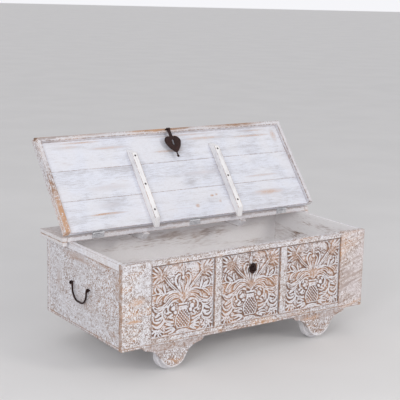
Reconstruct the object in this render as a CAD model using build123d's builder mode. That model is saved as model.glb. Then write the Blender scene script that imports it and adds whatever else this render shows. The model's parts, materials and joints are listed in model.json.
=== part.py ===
# Damchiya: a carved dowry chest on four block wheels.
# X runs along the chest, the carved front faces -Y, Z rises from the floor, and the lid stands open.
from build123d import *
from math import cos, radians, sin
import os

os.makedirs("parts", exist_ok=True)

# ---------------------------------------------------------------- the box
body_length = 1140
body_depth = 578
wall_height = 318
ground_gap = 112
frame_thick = 20
side_thick = 18
back_thick = 18
arris = 1

# ---------------------------------------------------------------- carved front
stile_width = 123.5
mullion_width = 31
top_rail_height = 21
bottom_rail_height = 27
panel_recess = 7
relief_height = 5.5
relief_step = 3
relief_inset = 1.6
leaf_end_trim = 2.5
drawn_width = 277
drawn_height = 270
drawn_base = 27
mound_gap = 1

# ---------------------------------------------------------------- sides and floor
side_rail_height = 26
side_recess = 1.5
floor_thick = 15
floor_boards = 3
bearer_width = 34
bearer_height = 12
bearer_centre = 150
bearer_inset = 40

# ---------------------------------------------------------------- top, lid and lipping
top_thick = 18
lid_open_angle = 128.7
pivot_from_front = 389
hinge_rise = 4.5
hinge_gap = 3
lid_reach = 416
side_overhang = 30
lipping_thick = 21
lipping_height = 33
lipping_groove = 17
groove_depth = 2.5
lipping_bulge = 0.8
lipping_undercut = 3
lip_round = 3
lid_boards = 3
lid_lift = 0.3

# ---------------------------------------------------------------- battens
lid_batten_width = 23
lid_batten_height = 32
lid_batten_centre = 202
lid_batten_tail = 19
lid_batten_reach = 332
lid_batten_chamfer = 29
top_batten_width = 24
top_batten_height = 31
top_batten_centre = 237
top_batten_reach = 17
top_batten_chamfer = 27
batten_screw_head = 3.2
batten_screw_shank = 1.6
batten_screw_grip = 8
batten_screw_length = 7
batten_screw_hole = 12
batten_screw_places = (45, 160, 290)

# ---------------------------------------------------------------- butt hinges
hinge_places = (-447, 0, 447)
hinge_length = 52
hinge_leaf_depth = 15
hinge_leaf_fit = 0.1
hinge_edge_clear = 0.2
hinge_knuckle_radius = 3.4
hinge_pin_radius = 1.6
hinge_fit = 0.05
hinge_knuckle_gap = 0.3
hinge_screw_head = 2.6
hinge_screw_shank = 1.3
hinge_screw_length = 11
hinge_screw_step = 18
hinge_screw_depth = 9

# ---------------------------------------------------------------- hasp and staple
hasp_thick = 2.5
hasp_pivot_inset = 10
hasp_pivot_height = 40
hasp_centre = 4
hasp_eye_radius = 5
hasp_rod_radius = 2
hasp_eye_width = 14
hasp_fit = 0.1
hasp_hanger_spread = 19.5
hasp_hanger_bend = 2.5
hasp_neck_width = 16
hasp_heart_start = 37
hasp_heart_width = 74
hasp_heart_widest = 66
hasp_heart_end = 113
hasp_lobe_bulge = 13
hasp_flank_bulge = 4.7
hasp_stem_width = 5.5
hasp_slot_centre = 65
hasp_slot_length = 26
hasp_slot_width = 8
hasp_tip = 129
hasp_hanger_leg = 14
hasp_ball = 5.5
staple_drop = 87
staple_plate_width = 31
staple_plate_height = 41
staple_plate_thick = 2.2
staple_seat_trim = 1
staple_rod = 2.3
staple_leg_spread = 16
staple_bend = 6.4
loop_stand_out = 14

# ---------------------------------------------------------------- bail handles
handle_height = 169
handle_offset_y = 11
handle_eye_spread = 130
handle_stand_off = 9
bail_rod = 3.6
bail_drop = 61
bail_arm_spread = 112
bail_foot_spread = 100
bail_end_bend = 5
bail_corner = 44
bail_end_overhang = 5
eye_wire = 2
eye_fit = 0.08
eye_shank = 3

# ---------------------------------------------------------------- feet and wheels
foot_centre = 348
foot_thick = 26
foot_half_width = 133
foot_shoulder = (110, -15)
foot_cove = (65, -39)
foot_ankle = (51, -63)
foot_drop = 96
foot_shoulder_bulge = 4.9
foot_cove_bulge = 3.4
foot_toe_bulge = 7.7
wheel_radius = 54
wheel_thick = 32
wheel_round = 5
wheel_side_gap = 2.5
axle_radius = 7
axle_fit = 0.06
axle_seat = 15
inner_cheek_thick = 18
inner_cheek_top = 120
inner_cheek_bottom = 60
inner_cheek_ground_gap = 24

# ---------------------------------------------------------------- worked-out places
tilt = radians(lid_open_angle - 90)
corner_saving = lip_round * (sin(tilt) + cos(tilt) - 1)
open_lid_behind = pivot_from_front + lid_reach * sin(tilt) - hinge_rise * cos(tilt) - corner_saving
front_y = loop_stand_out - (loop_stand_out + open_lid_behind) / 2
back_y = front_y + body_depth
bottom_z = ground_gap
wall_top = bottom_z + wall_height
top_z = wall_top + top_thick
pivot_y = front_y + pivot_from_front
pivot_z = top_z + hinge_rise
half_length = body_length / 2
lid_half = half_length + side_overhang
panel_z = bottom_z + bottom_rail_height
panel_height = wall_height - top_rail_height - bottom_rail_height
panel_width = (body_length - 2 * stile_width - 2 * mullion_width) / 3
panel_step = panel_width + mullion_width
frame_back = front_y + frame_thick
staple_z = wall_top - staple_drop
leaf_thick = hinge_gap / 2 - hinge_leaf_fit
hinge_edge_ease = hinge_knuckle_radius - hinge_gap / 2 + hinge_edge_clear
carving_across = panel_width / drawn_width
carving_up = panel_height / drawn_height
carving_size = min(carving_across, carving_up)
back_inner = back_y - back_thick
handle_y = front_y + body_depth / 2 + handle_offset_y
handle_z = bottom_z + handle_height
pivot = Vector(0, pivot_y, pivot_z)

# The lid's own frame at rest: x along the chest, u up the open lid, n out of its inner face,
# measured from the outer face of the lid.
lid_inward = Vector(0, -cos(tilt), sin(tilt))
lid_outer = Plane(origin=pivot + lid_inward * hinge_rise, x_dir=(1, 0, 0), z_dir=lid_inward)


def lid_point(x, u, n):
    return lid_outer.from_local_coords(Vector(x, u, n))


def save(piece, name):
    piece.part.label = name
    export_step(piece.part, f"parts/{name}.step")


def plank(name, x, y, z, ease=arris):
    """A squared board between two corners, with its long arrises eased."""
    with BuildPart() as piece:
        with BuildSketch(Plane.XY.offset(z[0])):
            with Locations(((x[0] + x[1]) / 2, (y[0] + y[1]) / 2)):
                Rectangle(x[1] - x[0], y[1] - y[0])
        extrude(amount=z[1] - z[0])
        sizes = ((x[1] - x[0], Axis.X), (y[1] - y[0], Axis.Y), (z[1] - z[0], Axis.Z))
        grain = max(sizes, key=lambda size: size[0])[1]
        chamfer(piece.edges().filter_by(grain), ease)
    save(piece, name)


# ================================================================ front frame
for side, name in ((-1, "front_left_stile"), (1, "front_right_stile")):
    outer_x = side * half_length
    inner_x = outer_x - side * stile_width
    plank(name, sorted((outer_x, inner_x)), (front_y, frame_back), (bottom_z, wall_top))

rail_x = (-half_length + stile_width, half_length - stile_width)
plank("front_bottom_rail", rail_x, (front_y, frame_back), (bottom_z, panel_z))
plank("front_top_rail", rail_x, (front_y, frame_back), (wall_top - top_rail_height, wall_top))

for side, name in ((-1, "mullion_left"), (1, "mullion_right")):
    centre_x = side * panel_step / 2
    span = (centre_x - mullion_width / 2, centre_x + mullion_width / 2)
    plank(name, span, (front_y, frame_back), (panel_z, wall_top - top_rail_height))


# ================================================================ carved panels
def drawn(x, z):
    """A point of the carving, fitted to the panel: x from its middle, z above the bottom of the body."""
    return Vector(x * carving_across, bottom_rail_height + (z - drawn_base) * carving_up)


def leaf(root, tip, left, right, inset):
    """A pointed leaf between two points, bulging by left and right of its line.

    inset draws the whole leaf in, its ends too, for the upper step of the carving.
    """
    start = drawn(*root)
    end = drawn(*tip)
    left = left * carving_size
    right = right * carving_size
    length = (end - start).length
    along = (end - start).normalized()
    across = Vector(-along.Y, along.X)
    trim = leaf_end_trim * inset / length
    lean = 2 * (left - right) * trim * (1 - trim)
    start = start + along * (trim * length) + across * lean
    end = end - along * (trim * length) + across * lean
    with BuildLine() as outline:
        SagittaArc(start, end, left - inset - lean)
        SagittaArc(end, start, right - inset + lean)
    make_face(outline.edges())


def fan(centre, angles, length, swell, inset):
    for angle in angles:
        tip = (centre[0] + length * cos(radians(angle)), centre[1] + length * sin(radians(angle)))
        leaf(centre, tip, swell, swell, inset)


def bead(centre, radius, inset):
    with Locations(drawn(*centre)):
        Circle(radius * carving_size - inset)


def half_foliage(inset):
    """The right half of the bouquet; inset narrows every form for the upper step."""
    # long stem, corner flower and its curl
    leaf((4, 164), (96, 259), 5, 5, inset)
    fan((90, 253), (8, 26, 44, 62, 80), 39, 5.2, inset)
    fan((88, 250), (-18, -42), 32, 5.2, inset)
    bead((78, 284), 8.5, inset)
    # outer petal of the tulip
    leaf((8, 178), (24, 254), -9, 18, inset)
    # side branch with buds above and lobes below
    leaf((5, 166), (66, 193), 12, -5, inset)
    leaf((54, 189), (132, 187), 6, 6, inset)
    leaf((72, 191), (90, 214), 6, 6, inset)
    leaf((98, 191), (116, 213), 7, 7, inset)
    leaf((84, 190), (116, 160), 9, 7, inset)
    leaf((58, 188), (88, 163), 8, 6, inset)
    # arching plume, its spine and hooked lobes
    leaf((8, 146), (90, 139), 24, -12, inset)
    leaf((80, 144), (108, 32), -3, 11, inset)
    for height, reach in ((128, 40), (107, 33), (88, 38), (67, 36), (47, 34)):
        start_x = 84 + (128 - height) / 5
        leaf((start_x, height), (start_x + reach, height + 9), -2, 12, inset)
    leaf((104, 42), (130, 34), 6, 6, inset)
    # scroll with its volute, berries and leaf beside the vase
    leaf((76, 146), (48, 117), 13, -5, inset)
    bead((54, 139), 7.5, inset)
    bead((41, 125), 8.5, inset)
    bead((46, 109), 6, inset)
    bead((58, 103), 5.5, inset)
    leaf((78, 104), (50, 70), 9, 9, inset)
    fan((44, 33), (14, 38, 62), 36, 5.5, inset)


def vase(inset):
    """Knot of the stems, tulip, and the vase on its mound."""
    bead((0, 158), 10, inset)
    fan((0, 160), (66, 90, 114), 62, 5.5, inset)
    bead((0, 240), 8, inset)
    leaf((0, 249), (0, 294), 6.5, 6.5, inset)
    with Locations(drawn(0, 143)):
        SlotOverall(46 * carving_size - 2 * inset, 11 * carving_size - 2 * inset)
    draw_in = Vector(inset, 0)
    draw_up = Vector(0, inset)
    with BuildLine() as body:
        lip = Line(drawn(-18, 140) + draw_in, drawn(18, 140) - draw_in)
        right_side = ThreePointArc(lip @ 1, drawn(19, 112) - draw_in, drawn(36, 76) - draw_in)
        foot_end = drawn(27, 48) - draw_in + draw_up
        foot_right = ThreePointArc(right_side @ 1, drawn(38, 60) - draw_in, foot_end)
        foot = Line(foot_right @ 1, drawn(-27, 48) + draw_in + draw_up)
        foot_left = ThreePointArc(foot @ 1, drawn(-38, 60) + draw_in, drawn(-36, 76) + draw_in)
        ThreePointArc(foot_left @ 1, drawn(-19, 112) + draw_in, lip @ 0)
    make_face(body.edges())
    with BuildLine() as base:
        foot_up = Vector(0, mound_gap + inset)
        mound = Line(drawn(-33, drawn_base) + draw_in + foot_up, drawn(33, drawn_base) - draw_in + foot_up)
        ThreePointArc(mound @ 1, drawn(0, 47) - draw_up, mound @ 0)
    make_face(base.edges())


def carved_panel(name, centre_x):
    """A recessed panel with a bouquet in a vase, carved in two steps."""
    ground_y = front_y + panel_recess
    with BuildPart() as panel:
        with BuildSketch(Plane.XZ.offset(-frame_back)):
            with Locations((centre_x, panel_z + panel_height / 2)):
                Rectangle(panel_width, panel_height)
        extrude(amount=frame_back - ground_y)
        steps = ((0, relief_step, 0), (relief_step, relief_height - relief_step, relief_inset))
        for level, rise, inset in steps:
            face = Plane(origin=(centre_x, ground_y - level, bottom_z), x_dir=(1, 0, 0), z_dir=(0, -1, 0))
            with BuildSketch(face):
                half_foliage(inset)
                mirror(about=Plane.YZ)
                vase(inset)
            extrude(amount=rise)
        if centre_x == 0:
            staple_seat = Plane(origin=(hasp_centre, ground_y, staple_z), x_dir=(1, 0, 0), z_dir=(0, -1, 0))
            with BuildSketch(staple_seat):
                Ellipse(staple_plate_width / 2 - staple_seat_trim, staple_plate_height / 2 - staple_seat_trim)
            extrude(amount=relief_height)
            with BuildSketch(staple_seat.offset(relief_height)):
                with GridLocations(0, staple_leg_spread, 1, 2):
                    Circle(staple_rod)
            extrude(amount=-frame_thick, mode=Mode.SUBTRACT)
    save(panel, name)


for place, name in ((-1, "carved_panel_left"), (0, "carved_panel_middle"), (1, "carved_panel_right")):
    carved_panel(name, place * panel_step)


# ================================================================ sides, back and floor
for side, name in ((-1, "left"), (1, "right")):
    outer_x = side * (half_length - side_recess)
    inner_x = side * (half_length - side_thick)
    with BuildPart() as side_board:
        with BuildSketch(Plane.XY.offset(bottom_z)):
            with Locations(((outer_x + inner_x) / 2, (frame_back + back_inner) / 2)):
                Rectangle(side_thick - side_recess, back_inner - frame_back)
        extrude(amount=wall_height - side_rail_height)
        with BuildSketch(Plane(origin=(inner_x, handle_y, handle_z), x_dir=(0, 1, 0), z_dir=(side, 0, 0))):
            with GridLocations(handle_eye_spread, 0, 2, 1):
                Circle(eye_shank)
        extrude(amount=side_thick, mode=Mode.SUBTRACT)
    save(side_board, f"side_board_{name}")
    rail_span = sorted((side * half_length, inner_x))
    rail_bottom = wall_top - side_rail_height
    plank(f"side_top_rail_{name}", rail_span, (frame_back, back_inner), (rail_bottom, wall_top))

plank("back_board", (-half_length, half_length), (back_inner, back_y), (bottom_z, wall_top))

inner_x = half_length - side_thick
board_depth = (back_inner - frame_back) / floor_boards
for index, name in enumerate(("front", "middle", "rear")):
    start = frame_back + index * board_depth
    depth = (start, start + board_depth)
    plank(f"floor_board_{name}", (-inner_x, inner_x), depth, (bottom_z, bottom_z + floor_thick))
for side, name in ((-1, "left"), (1, "right")):
    centre_x = side * bearer_centre
    span = (centre_x - bearer_width / 2, centre_x + bearer_width / 2)
    depth = (front_y + bearer_inset, back_y - bearer_inset)
    plank(f"floor_bearer_{name}", span, depth, (bottom_z - bearer_height, bottom_z))


# ================================================================ fixed rear top
top_front = pivot_y + hinge_gap / 2
lip_inner = lid_half - lipping_thick
hinge_screw_x = [place + step * hinge_screw_step for place in hinge_places for step in (-1, 0, 1)]
fixed_edge = Plane(origin=(0, top_front, top_z), x_dir=(1, 0, 0), z_dir=(0, -1, 0))


def ease_long_arrises(board, beside_hinge):
    """Eases the long arrises of a board, and more so the one that lies along the hinge knuckles."""
    arrises = board.edges().filter_by(Axis.X)
    if beside_hinge:
        chamfer(arrises.sort_by_distance(pivot)[0], hinge_edge_ease)
        arrises = board.edges().filter_by(Axis.X).sort_by_distance(pivot)[2:]
    chamfer(arrises, arris / 2)


with BuildPart() as rear_board:
    with BuildSketch(Plane.XY.offset(wall_top)):
        with Locations((0, (top_front + back_y) / 2)):
            Rectangle(2 * lip_inner, back_y - top_front)
    extrude(amount=top_thick)
    ease_long_arrises(rear_board, True)
    with BuildSketch(fixed_edge):
        with Locations([(x, -hinge_screw_depth) for x in hinge_screw_x]):
            Circle(hinge_screw_shank)
    extrude(amount=-hinge_screw_length, mode=Mode.SUBTRACT)
save(rear_board, "rear_top_board")


def lipping_outline():
    """Cross-section of the lipping: x outwards from its inner face, y down from the top face."""
    bulge = lipping_thick - groove_depth
    with BuildLine() as outline:
        top = Line((0, 0), (lipping_thick - lip_round, 0))
        shoulder = RadiusArc(top @ 1, (lipping_thick, lip_round), -lip_round)
        upper = SagittaArc(shoulder @ 1, (bulge, lipping_groove), -lipping_bulge)
        middle = (lipping_groove + lipping_height) / 2
        inner_end = (bulge - lipping_undercut, lipping_height)
        lower = ThreePointArc(upper @ 1, (lipping_thick, middle), inner_end)
        Polyline(lower @ 1, (0, lipping_height), (0, 0))
    make_face(outline.edges())


for side, name in ((-1, "left"), (1, "right")):
    section = Plane(origin=(side * lip_inner, top_front, top_z), x_dir=(side, 0, 0), z_dir=(0, side, 0))
    with BuildPart() as lipping:
        with BuildSketch(section):
            lipping_outline()
        extrude(amount=side * (back_y - top_front))
        front_end = lipping.faces().sort_by(Axis.Y)[0]
        fillet(front_end.edges().filter_by(GeomType.LINE).sort_by(Axis.Z)[-1], lip_round)
    save(lipping, f"rear_lipping_{name}")

for side, name in ((-1, "left"), (1, "right")):
    with BuildPart() as batten:
        with BuildSketch(Plane.YZ.offset(side * top_batten_centre - top_batten_width / 2)):
            with BuildLine():
                nose = top_front - top_batten_reach
                under = wall_top - top_batten_height
                Polyline(
                    (back_inner, wall_top),
                    (nose, wall_top),
                    (nose, under + top_batten_chamfer),
                    (nose + top_batten_chamfer, under),
                    (back_inner, under),
                    close=True,
                )
            make_face()
        extrude(amount=top_batten_width)
    save(batten, f"top_batten_{name}")


# ================================================================ lid
lid_thick = top_thick - lid_lift
lid_start = hinge_gap / 2
lid_inner_reach = lid_reach - lipping_thick
lid_board_width = (lid_inner_reach - lid_start) / lid_boards
lid_edge = Plane(origin=lid_point(0, lid_start, 0), x_dir=(-1, 0, 0), z_dir=lid_outer.y_dir * -1)
for index, name in enumerate(("rear", "middle", "front")):
    with BuildPart() as lid_board:
        with BuildSketch(lid_outer):
            with Locations((0, lid_start + (index + 0.5) * lid_board_width)):
                Rectangle(2 * lip_inner, lid_board_width)
        extrude(amount=lid_thick)
        ease_long_arrises(lid_board, index == 0)
        if index == 0:
            with BuildSketch(lid_edge):
                with Locations([(x, -hinge_screw_depth) for x in hinge_screw_x]):
                    Circle(hinge_screw_shank)
            extrude(amount=-hinge_screw_length, mode=Mode.SUBTRACT)
    save(lid_board, f"lid_board_{name}")

for side, name in ((-1, "left"), (1, "right")):
    hinge_end = lid_point(side * lip_inner, lid_start, 0)
    section = Plane(origin=hinge_end, x_dir=(side, 0, 0), z_dir=lid_outer.y_dir * -side)
    corner = lid_point(side * lip_inner, lid_inner_reach, 0)
    mitre = Plane(origin=corner, x_dir=lid_inward, z_dir=lid_outer.y_dir - Vector(side, 0, 0))
    with BuildPart() as lipping:
        with BuildSketch(section):
            lipping_outline()
        extrude(amount=-side * (lid_reach - lid_start))
        split(bisect_by=mitre, keep=Keep.BOTTOM)
    save(lipping, f"lid_lipping_{name}")

with BuildPart() as front_lipping:
    section = Plane(
        origin=lid_point(-lid_half, lid_inner_reach, 0), x_dir=lid_outer.y_dir, z_dir=(1, 0, 0)
    )
    with BuildSketch(section):
        lipping_outline()
    extrude(amount=2 * lid_half)
    for side in (-1, 1):
        corner = lid_point(side * lip_inner, lid_inner_reach, 0)
        mitre = Plane(origin=corner, x_dir=lid_inward, z_dir=lid_outer.y_dir - Vector(side, 0, 0))
        split(bisect_by=mitre, keep=Keep.TOP)
    hanger_floor = Plane(
        origin=lid_point(hasp_centre, lid_reach - hasp_pivot_inset, hasp_pivot_height),
        x_dir=(1, 0, 0),
        z_dir=lid_inward,
    )
    with BuildSketch(hanger_floor):
        with GridLocations(hasp_hanger_spread, 0, 2, 1):
            Circle(hasp_rod_radius)
    extrude(amount=-hasp_hanger_leg, mode=Mode.SUBTRACT)
save(front_lipping, "lid_lipping_front")

batten_face = lid_thick + lid_batten_height
for side, name in ((-1, "left"), (1, "right")):
    centre_x = side * lid_batten_centre
    near_side = lid_point(centre_x - lid_batten_width / 2, 0, 0)
    profile = Plane(origin=near_side, x_dir=lid_outer.y_dir, z_dir=(1, 0, 0))
    with BuildPart() as batten:
        with BuildSketch(profile):
            with BuildLine():
                Polyline(
                    (lid_start, lid_thick),
                    (lid_start, top_thick),
                    (-lid_batten_tail, top_thick),
                    (-lid_batten_tail, batten_face - lid_batten_chamfer),
                    (lid_batten_chamfer - lid_batten_tail, batten_face),
                    (lid_batten_reach - lid_batten_chamfer, batten_face),
                    (lid_batten_reach, batten_face - lid_batten_chamfer),
                    (lid_batten_reach, lid_thick),
                    close=True,
                )
            make_face()
        extrude(amount=lid_batten_width)
        outer = Plane(origin=lid_point(centre_x, 0, batten_face), x_dir=(1, 0, 0), z_dir=lid_inward)
        for reach in batten_screw_places:
            with Locations(outer):
                with Locations((0, reach)):
                    CounterSinkHole(batten_screw_shank, batten_screw_head, depth=batten_screw_hole)
    save(batten, f"lid_batten_{name}")

with BuildPart() as screws:
    for side in (-1, 1):
        for reach in batten_screw_places:
            centre = lid_point(side * lid_batten_centre, reach, batten_face - batten_screw_grip)
            with BuildSketch(Plane(origin=centre, x_dir=(1, 0, 0), z_dir=lid_inward)):
                Circle(batten_screw_shank)
            extrude(amount=batten_screw_length)
save(screws, "lid_batten_screws")


# ================================================================ butt hinges
knuckle_pitch = hinge_length / 5
knuckle_width = knuckle_pitch - hinge_knuckle_gap


def hinge_leaves(name, edge, knuckles, bore, turn):
    """Three leaves on one board edge; edge has its origin on the arris below the pivot line."""
    with BuildPart() as leaves:
        for place in hinge_places:
            with BuildSketch(edge):
                with Locations((turn * place, -hinge_leaf_depth / 2)):
                    Rectangle(hinge_length, hinge_leaf_depth)
                holes = [place + step * hinge_screw_step for step in (-1, 0, 1)]
                with Locations([(turn * x, -hinge_screw_depth) for x in holes]):
                    Circle(hinge_screw_head, mode=Mode.SUBTRACT)
            extrude(amount=leaf_thick)
            for knuckle in knuckles:
                middle = turn * (place + knuckle * knuckle_pitch)
                with BuildSketch(edge):
                    with Locations((middle, hinge_rise / 2)):
                        Rectangle(knuckle_width, hinge_rise)
                extrude(amount=leaf_thick)
                barrel_start = Vector(middle - knuckle_width / 2, hinge_rise, hinge_gap / 2)
                barrel = Plane(origin=edge.from_local_coords(barrel_start), z_dir=edge.x_dir)
                with BuildSketch(barrel):
                    Circle(hinge_knuckle_radius)
                extrude(amount=knuckle_width)
                with BuildSketch(barrel):
                    Circle(bore)
                extrude(amount=knuckle_width, mode=Mode.SUBTRACT)
    save(leaves, name)


hinge_leaves("hinge_leaves_fixed", fixed_edge, (-2, 0, 2), hinge_pin_radius, 1)
hinge_leaves("hinge_leaves_lid", lid_edge, (-1, 1), hinge_pin_radius + hinge_fit, -1)

with BuildPart() as pins:
    for place in hinge_places:
        with BuildSketch(Plane(origin=pivot + Vector(place - hinge_length / 2, 0, 0), z_dir=(1, 0, 0))):
            Circle(hinge_pin_radius)
        extrude(amount=hinge_length)
save(pins, "hinge_pins")

for name, edge, turn in (("hinge_screws_fixed", fixed_edge, 1), ("hinge_screws_lid", lid_edge, -1)):
    with BuildPart() as screws:
        spots = [(turn * x, -hinge_screw_depth) for x in hinge_screw_x]
        with BuildSketch(edge):
            with Locations(spots):
                Circle(hinge_screw_head)
        extrude(amount=leaf_thick)
        with BuildSketch(edge):
            with Locations(spots):
                Circle(hinge_screw_shank)
        extrude(amount=-hinge_screw_length)
    save(screws, name)


# ================================================================ hasp
hasp_pivot = lid_point(hasp_centre, lid_reach - hasp_pivot_inset, hasp_pivot_height)
hasp_line = Plane(origin=hasp_pivot, x_dir=(1, 0, 0), z_dir=lid_inward)

with BuildPart() as hanger:
    hanger_plane = Plane(origin=hasp_pivot, x_dir=(1, 0, 0), z_dir=lid_outer.y_dir * -1)
    with BuildLine(hanger_plane) as hanger_run:
        half_spread = hasp_hanger_spread / 2
        FilletPolyline(
            (-half_spread, -hasp_hanger_leg),
            (-half_spread, 0),
            (half_spread, 0),
            (half_spread, -hasp_hanger_leg),
            radius=hasp_hanger_bend,
        )
    with BuildSketch(Plane(origin=hanger_run.line @ 0, z_dir=hanger_run.line % 0)):
        Circle(hasp_rod_radius)
    sweep()
save(hanger, "hasp_hanger")

with BuildPart() as hasp:
    with BuildSketch(hasp_line.offset(-hasp_thick / 2)):
        with BuildLine():
            collar = Line((hasp_eye_width / 2, 0), (hasp_eye_width / 2, -hasp_eye_radius))
            neck = Line(collar @ 1, (hasp_neck_width / 2, -hasp_heart_start))
            lobe = SagittaArc(neck @ 1, (hasp_heart_width / 2, -hasp_heart_widest), hasp_lobe_bulge)
            flank = SagittaArc(lobe @ 1, (hasp_stem_width / 2, -hasp_heart_end), hasp_flank_bulge)
            Polyline(flank @ 1, (hasp_stem_width / 2, -hasp_tip), (0, -hasp_tip))
            Line((0, 0), collar @ 0)
            mirror(about=Plane.YZ)
        make_face()
        with Locations((0, -hasp_tip)):
            Circle(hasp_ball)
        with Locations((0, -hasp_slot_centre)):
            SlotOverall(hasp_slot_length, hasp_slot_width, rotation=90, mode=Mode.SUBTRACT)
    extrude(amount=hasp_thick)
    roll = Plane(origin=hasp_line.from_local_coords(Vector(-hasp_eye_width / 2, 0, 0)), z_dir=(1, 0, 0))
    with BuildSketch(roll):
        Circle(hasp_eye_radius)
    extrude(amount=hasp_eye_width)
    with BuildSketch(roll):
        Circle(hasp_rod_radius + hasp_fit)
    extrude(amount=hasp_eye_width, mode=Mode.SUBTRACT)
save(hasp, "hasp")

# ================================================================ staple on the middle panel
plate_back = front_y + panel_recess - relief_height
with BuildPart() as plate:
    with BuildSketch(Plane(origin=(hasp_centre, plate_back, staple_z), x_dir=(1, 0, 0), z_dir=(0, -1, 0))):
        Ellipse(staple_plate_width / 2, staple_plate_height / 2)
        with GridLocations(0, staple_leg_spread, 1, 2):
            Circle(staple_rod, mode=Mode.SUBTRACT)
    extrude(amount=staple_plate_thick)
save(plate, "staple_plate")

with BuildPart() as staple:
    with BuildLine(Plane.YZ.offset(hasp_centre)) as staple_run:
        reach = front_y - loop_stand_out + staple_rod
        low = staple_z - staple_leg_spread / 2
        high = staple_z + staple_leg_spread / 2
        corners = ((frame_back, low), (reach, low), (reach, high), (frame_back, high))
        FilletPolyline(*corners, radius=staple_bend)
    with BuildSketch(Plane(origin=staple_run.line @ 0, z_dir=staple_run.line % 0)):
        Circle(staple_rod)
    sweep()
save(staple, "staple_loop")

# ================================================================ bail handles
ring_radius = bail_rod + eye_fit + eye_wire
for side, name in ((-1, "left"), (1, "right")):
    handle_x = side * (half_length - side_recess + handle_stand_off)
    hang = Plane(origin=(handle_x, handle_y, handle_z), x_dir=(0, 1, 0), z_dir=(1, 0, 0))
    with BuildPart() as bail:
        with BuildLine(hang) as bail_run:
            end_y = handle_eye_spread / 2 + eye_wire + bail_end_overhang
            arm_y = bail_arm_spread / 2
            foot_y = bail_foot_spread / 2
            FilletPolyline(
                (-end_y, 0),
                (-arm_y, 0),
                (-foot_y, -bail_drop),
                (foot_y, -bail_drop),
                (arm_y, 0),
                (end_y, 0),
                radius=[bail_end_bend, bail_corner, bail_corner, bail_end_bend],
            )
        with BuildSketch(Plane(origin=bail_run.line @ 0, z_dir=bail_run.line % 0)):
            Circle(bail_rod)
        sweep()
    save(bail, f"handle_bail_{name}")

    with BuildPart() as eyes:
        for end in (-1, 1):
            eye_y = handle_y + end * handle_eye_spread / 2
            with BuildSketch(Plane(origin=(handle_x, eye_y, handle_z), x_dir=(0, 1, 0), z_dir=(1, 0, 0))):
                with Locations((0, ring_radius)):
                    Circle(eye_wire)
            revolve(axis=Axis((handle_x, eye_y, handle_z), (0, 1, 0)))
            neck = ring_radius - eye_wire / 2
            shank_start = Plane(origin=(handle_x - side * neck, eye_y, handle_z), z_dir=(-side, 0, 0))
            with BuildSketch(shank_start):
                Circle(eye_shank)
            extrude(amount=handle_stand_off - neck + side_thick - side_recess)
    save(eyes, f"handle_eyes_{name}")

# ================================================================ feet and wheels
for end, row in ((-1, "front"), (1, "rear")):
    outer_y = front_y if end < 0 else back_y
    wheel_y = outer_y - end * (foot_thick + wheel_side_gap)
    inner_y = wheel_y - end * (wheel_thick + wheel_side_gap)
    for side, name in ((-1, "left"), (1, "right")):
        centre_x = side * foot_centre
        into = Plane(origin=(centre_x, outer_y, bottom_z), x_dir=(-end, 0, 0), z_dir=(0, end, 0))
        with BuildPart() as cheek:
            with BuildSketch(into):
                with BuildLine():
                    shoulder = SagittaArc((foot_half_width, 0), foot_shoulder, foot_shoulder_bulge)
                    cove = SagittaArc(shoulder @ 1, foot_cove, -foot_cove_bulge)
                    ankle = Line(cove @ 1, foot_ankle)
                    SagittaArc(ankle @ 1, (0, -foot_drop), foot_toe_bulge)
                    Line((0, 0), shoulder @ 0)
                    mirror(about=Plane.YZ)
                make_face()
            extrude(amount=-foot_thick)
            with BuildSketch(into.offset(-foot_thick)):
                with Locations((0, wheel_radius - bottom_z)):
                    Circle(axle_radius)
            extrude(amount=axle_seat, mode=Mode.SUBTRACT)
        save(cheek, f"foot_cheek_{row}_{name}")

        with BuildPart() as inner_cheek:
            inner_face = Plane(origin=(centre_x, inner_y, bottom_z), x_dir=(-end, 0, 0), z_dir=(0, end, 0))
            with BuildSketch(inner_face):
                with BuildLine():
                    low = inner_cheek_ground_gap - bottom_z
                    Polyline(
                        (-inner_cheek_top / 2, 0),
                        (inner_cheek_top / 2, 0),
                        (inner_cheek_bottom / 2, low),
                        (-inner_cheek_bottom / 2, low),
                        close=True,
                    )
                make_face()
                with Locations((0, wheel_radius - bottom_z)):
                    Circle(axle_radius, mode=Mode.SUBTRACT)
            extrude(amount=-inner_cheek_thick)
        save(inner_cheek, f"inner_cheek_{row}_{name}")

        with BuildPart() as wheel:
            outer_face = Plane(origin=(centre_x, wheel_y, wheel_radius), x_dir=(1, 0, 0), z_dir=(0, -end, 0))
            with BuildSketch(outer_face):
                Circle(wheel_radius)
                Circle(axle_radius + axle_fit, mode=Mode.SUBTRACT)
            extrude(amount=wheel_thick)
            fillet(wheel.edges().filter_by(GeomType.CIRCLE).sort_by(SortBy.RADIUS)[-2:], wheel_round)
        save(wheel, f"wheel_{row}_{name}")

with BuildPart() as axles:
    for end in (-1, 1):
        outer_y = front_y if end < 0 else back_y
        for side in (-1, 1):
            seat_y = outer_y - end * (foot_thick - axle_seat)
            seat = Plane(origin=(side * foot_centre, seat_y, wheel_radius), z_dir=(0, -end, 0))
            with BuildSketch(seat):
                Circle(axle_radius)
            extrude(amount=axle_seat + wheel_thick + 2 * wheel_side_gap + inner_cheek_thick)
save(axles, "wheel_axles")
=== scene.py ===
import json
import math
import bpy
import numpy as np
from mathutils import Matrix, Vector


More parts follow.
